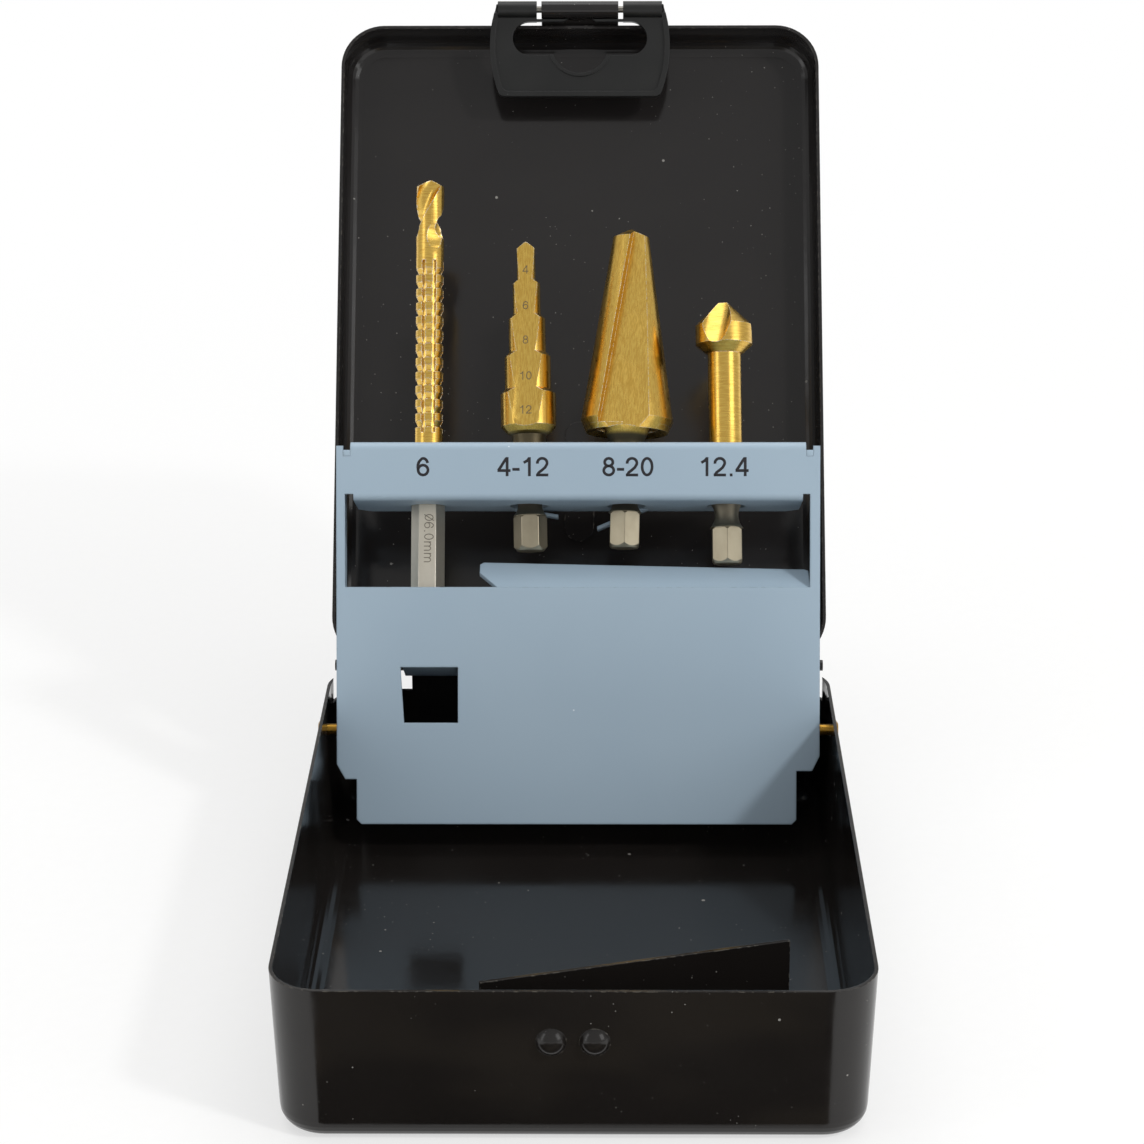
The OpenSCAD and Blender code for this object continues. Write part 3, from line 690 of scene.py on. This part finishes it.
# The size reads down the hexagon's front flat, half of 6.35 mm from the axis
HEX_HALF = 3.175
burn = marking("laser_mark_on_steel", "6A6357", "7E776A", BURN_PORE, BURN_ROUGH)
face = SAW @ moved(-0.7, -HEX_HALF, -19.9) @ turned(y=90)
lettering("saw_mark", "O6.0mm", face, 2.15, 0.09, BURN_THICK, "saw_drill", burn)


# Studio: pale floor, soft lamps, camera at the photo's angle
def floor_paper():
    """White paper that keeps the shadow near the object and is plain white further off."""
    material, tree = new_material("white_paper")
    place = add(tree, "TexCoord", out="Object")
    fibre = grains(tree, place, (3, 3, 3), 3.0)
    rays = add(tree, "LightPath").node.outputs
    seen = add(tree, "Math", {0: rays["Is Camera Ray"], 1: rays["Is Glossy Ray"]}, **LARGER)
    seen = add(tree, "Math", {0: seen, 1: rays["Is Transmission Ray"]}, **LARGER)
    away = add(tree, "VectorMath", {0: place}, "Value", operation="LENGTH")
    plain = add(tree, "MapRange", {0: away, 1: 0.15, 2: 0.6, 3: 0.62, 4: 1.0}, **SMOOTH)
    plain = add(tree, "Math", {0: plain, 1: seen}, **TIMES)
    colour = add(tree, "Mix", {0: fibre, 6: srgb("F1F1EF"), 7: srgb("F7F7F6")}, **RGBA)
    rough = add(tree, "MapRange", {0: fibre, 1: 0.2, 2: 0.8, 3: 0.8, 4: 0.9}, **SMOOTH)
    links = {"Base Color": colour, "Roughness": rough, "Specular IOR Level": 0.1}
    paper = add(tree, "BsdfPrincipled", links)
    glow = add(tree, "Emission", {"Color": (1.0, 1.0, 1.0, 1.0), "Strength": 1.0})
    surface = add(tree, "MixShader", {0: plain, 1: paper, 2: glow})
    add(tree, "OutputMaterial", {"Surface": surface})
    return material


bpy.ops.object.select_all(action="DESELECT")
bpy.ops.mesh.primitive_circle_add(vertices=96, radius=12, fill_type="NGON", location=(0, 0, 0))
floor = bpy.context.object
floor.name = "floor"
floor.data.materials.append(floor_paper())

# Dark card in front of the case, seen only in reflections: a painted reflection, dark and
# mottled, in the front wall; it widens forward, so the rounded corners still see white paper
CARD_MIDDLE = -0.188
CARD_NEAR_WIDE = 0.094
CARD_LONG = 0.224
CARD_SPREAD = 3.0
bpy.ops.mesh.primitive_plane_add(size=1, location=(0, CARD_MIDDLE, 0.0004))
card = bpy.context.object
card.name = "dark_card"
card.scale = (CARD_NEAR_WIDE, CARD_LONG, 1)
set_down()
bpy.ops.object.mode_set(mode="EDIT")
bpy.ops.mesh.select_all(action="DESELECT")
bpy.ops.object.mode_set(mode="OBJECT")
for corner in card.data.vertices:
    corner.select = corner.co.y < CARD_MIDDLE
bpy.ops.object.mode_set(mode="EDIT")
bpy.ops.transform.resize(value=(CARD_SPREAD, 1, 1), center_override=(0, 0, 0))
bpy.ops.object.mode_set(mode="OBJECT")
card.visible_camera = False
card.visible_diffuse = False
card.visible_shadow = False
# The card's mottled brown-black paints the mottling of the front wall's reflection
card_finish, tree = new_material("dark_card_painted_reflection")
reflection_mottle = grains(tree, add(tree, "TexCoord", out="Object"), (55, 30, 55), 2.0)
mottle_mask = add(tree, "MapRange", {0: reflection_mottle, 1: 0.42, 2: 0.62}, **SMOOTH)
colour = add(tree, "Mix", {0: mottle_mask, 6: srgb("171512"), 7: srgb("6B6151")}, **RGBA)
add(tree, "OutputMaterial", {"Surface": add(tree, "BsdfDiffuse", {"Color": colour})})
card.data.materials.append(card_finish)


def lamp(name, place, target, size, watts):
    bpy.ops.object.light_add(type="AREA", location=place)
    light = bpy.context.object
    light.name = name
    light.data.shape = "RECTANGLE"
    light.data.size, light.data.size_y = size
    light.data.energy = watts
    light.rotation_euler = (Vector(target) - Vector(place)).to_track_quat("-Z", "Y").to_euler()
    return light


# The key casts the rack's diagonal shadow and isn't mirrored in the metal; soft_right is
key = lamp("key_right", (1.05, -0.75, 1.15), (0, 0.05, 0.06), (0.16, 0.16), 9.5)
key.visible_glossy = False
lamp("soft_right", (1.2, -0.75, 0.75), (0, 0.0, 0.06), (0.7, 1.0), 4.0)
lamp("strip_left", (-1.15, -0.55, 0.55), (0, 0.0, 0.06), (0.35, 1.1), 1.7)
lamp("top_soft", (0.0, 0.55, 1.6), (0, 0.05, 0.05), (1.9, 1.2), 12.0)

world = bpy.data.worlds.new("studio")
bpy.context.scene.world = world
world.use_nodes = True
world.node_tree.nodes.clear()
sky = add(world.node_tree, "Background", {"Color": (1.0, 1.0, 1.0, 1.0), "Strength": 0.54})
add(world.node_tree, "OutputWorld", {"Surface": sky})

CAMERA_PLACE = Vector((0.005309, -0.562785, 0.29761))
CAMERA_YAW = math.radians(-0.606)
CAMERA_PITCH = math.radians(20.932)
CAMERA_ROLL = math.radians(-0.201)
FOCAL_PIXELS = 3127.2
PHOTO_PIXELS = 1144
SENSOR_MM = 36.0

lens = bpy.data.cameras.new("camera")
lens.sensor_width = SENSOR_MM
lens.lens = FOCAL_PIXELS * SENSOR_MM / PHOTO_PIXELS
camera = bpy.data.objects.new("camera", lens)
bpy.context.scene.collection.objects.link(camera)
level = math.cos(CAMERA_PITCH)
ahead = Vector((math.sin(CAMERA_YAW) * level, math.cos(CAMERA_YAW) * level, 0))
ahead.z = -math.sin(CAMERA_PITCH)
right = Vector((math.cos(CAMERA_YAW), -math.sin(CAMERA_YAW), 0))
up = right.cross(ahead)
across = right * math.cos(CAMERA_ROLL) + up * math.sin(CAMERA_ROLL)
upward = up * math.cos(CAMERA_ROLL) - right * math.sin(CAMERA_ROLL)
view = Matrix((across, upward, -ahead)).transposed().to_4x4()
camera.matrix_world = Matrix.Translation(CAMERA_PLACE) @ view
bpy.context.scene.camera = camera
bpy.context.scene.view_settings.view_transform = "Standard"
